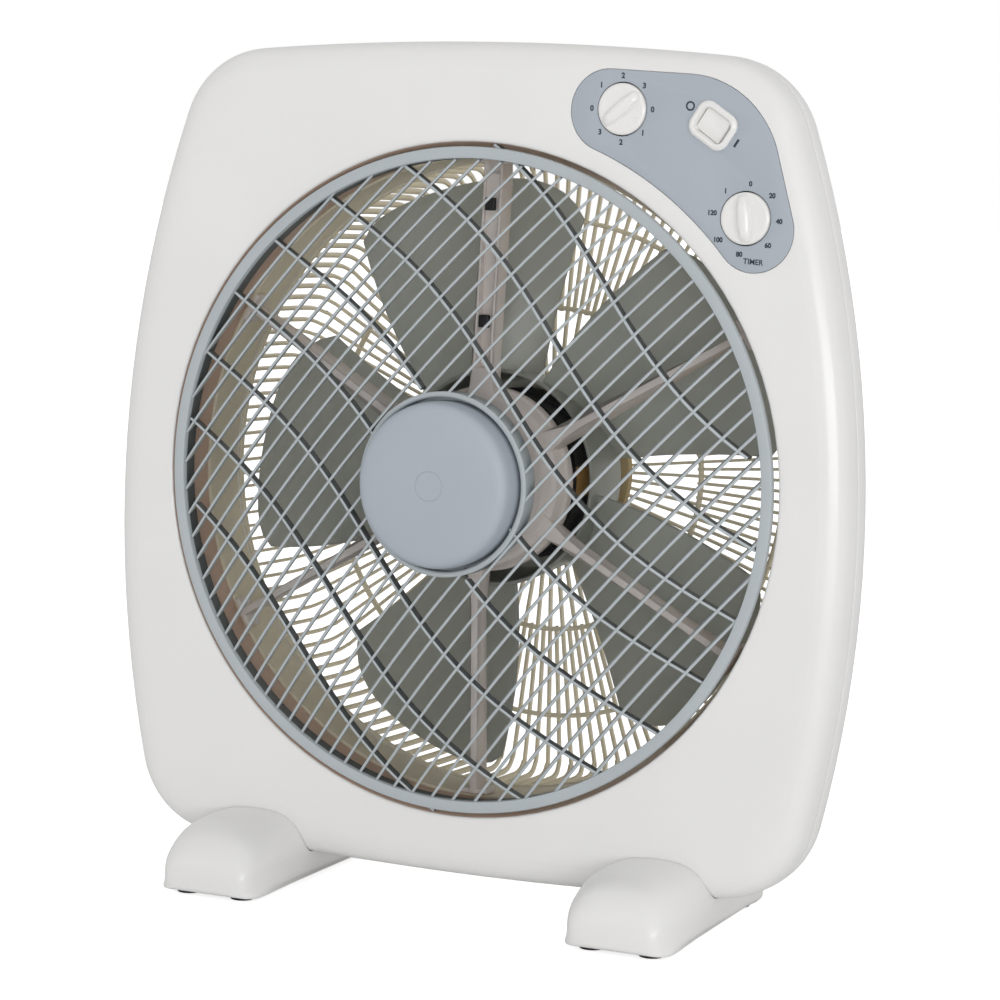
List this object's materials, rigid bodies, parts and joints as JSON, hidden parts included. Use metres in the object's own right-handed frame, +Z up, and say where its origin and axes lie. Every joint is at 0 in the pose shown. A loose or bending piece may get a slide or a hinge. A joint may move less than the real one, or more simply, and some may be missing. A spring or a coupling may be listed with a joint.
{
  "type": "box fan",
  "caption": "Box fan on two feet with a turning domed louvre grille, a translucent impeller, a rear guard, speed and timer knobs and a rocker switch.",
  "frame": {"origin": "on the floor, below the middle of the footprint", "axes": "+Z up, -Y is the front with the controls, +X to the right of someone who looks at the front"},
  "size_m": [0.402, 0.162, 0.431],
  "materials": {
    "body_white": "smooth warm white moulding",
    "guard_cream": "satin cream moulding",
    "spider_white": "satin pinkish white moulding",
    "panel_blue_grey": "fine satin blue-grey moulding",
    "grille_slate": "satin grey-blue moulding",
    "blade_smoke": "smoky, slightly see-through moulding",
    "control_white": "smooth white moulding",
    "black_plastic": "satin black moulding",
    "rubber_black": "matt black rubber",
    "copper_wire": "enamelled copper winding",
    "steel": "plated steel",
    "lamination": "stacked electrical steel",
    "bronze": "sintered bronze"
  },
  "bodies": {
    "housing": {"front_shell": "body_white", "rear_shell": "body_white", "rear_guard": "guard_cream", "front_spider": "spider_white", "wire_clip_upper": "black_plastic", "wire_clip_lower": "black_plastic", "cord_gland": "rubber_black", "case_screw_1": "steel", "case_screw_2": "steel", "case_screw_3": "steel", "case_screw_4": "steel", "foot_left": "body_white", "foot_right": "body_white", "pad_left_1": "rubber_black", "pad_left_2": "rubber_black", "pad_left_3": "rubber_black", "pad_left_4": "rubber_black", "pad_right_1": "rubber_black", "pad_right_2": "rubber_black", "pad_right_3": "rubber_black", "pad_right_4": "rubber_black", "foot_screw_1": "steel", "foot_screw_2": "steel", "foot_screw_3": "steel", "foot_screw_4": "steel", "grille_motor": "lamination", "motor_front_bracket": "black_plastic", "motor_rear_bracket": "black_plastic", "stator_core": "lamination", "winding_front": "copper_wire", "winding_rear": "copper_wire", "bearing_front": "bronze", "bearing_rear": "bronze", "control_panel": "panel_blue_grey", "speed_switch": "black_plastic", "timer_body": "black_plastic", "rocker_frame": "control_white", "capacitor": "black_plastic"},
    "turning_grille": {"louvre_grille": "grille_slate", "hub_cap": "panel_blue_grey", "grille_shaft": "steel"},
    "impeller": {"impeller": "blade_smoke", "motor_shaft": "steel", "rotor": "lamination", "spinner_nut": "black_plastic"},
    "speed_control": {"speed_knob": "control_white", "speed_spindle": "steel"},
    "timer_control": {"timer_knob": "control_white", "timer_spindle": "steel"},
    "rocker": {"rocker_key": "control_white"}
  },
  "joints": [
    {"name": "grille_spin", "type": "hinge", "parent": "housing", "child": "turning_grille", "pos_m": [0, -0.02, 0.2145], "axis": [0, 1, 0], "continuous": true},
    {"name": "impeller_spin", "type": "hinge", "parent": "housing", "child": "impeller", "pos_m": [0, -0.02, 0.2145], "axis": [0, 1, 0], "continuous": true},
    {"name": "speed_turn", "type": "hinge", "parent": "housing", "child": "speed_control", "pos_m": [0.0791, -0.02, 0.3993], "axis": [0, 1, 0], "continuous": true},
    {"name": "timer_turn", "type": "hinge", "parent": "housing", "child": "timer_control", "pos_m": [0.1448, -0.02, 0.3493], "axis": [0, 1, 0], "range_deg": [-47, 270]},
    {"name": "rocker_tilt", "type": "hinge", "parent": "housing", "child": "rocker", "pos_m": [0.1268, -0.024, 0.3925], "axis": [0.5446, 0, 0.8387], "range_deg": [0, 12]}
  ]
}
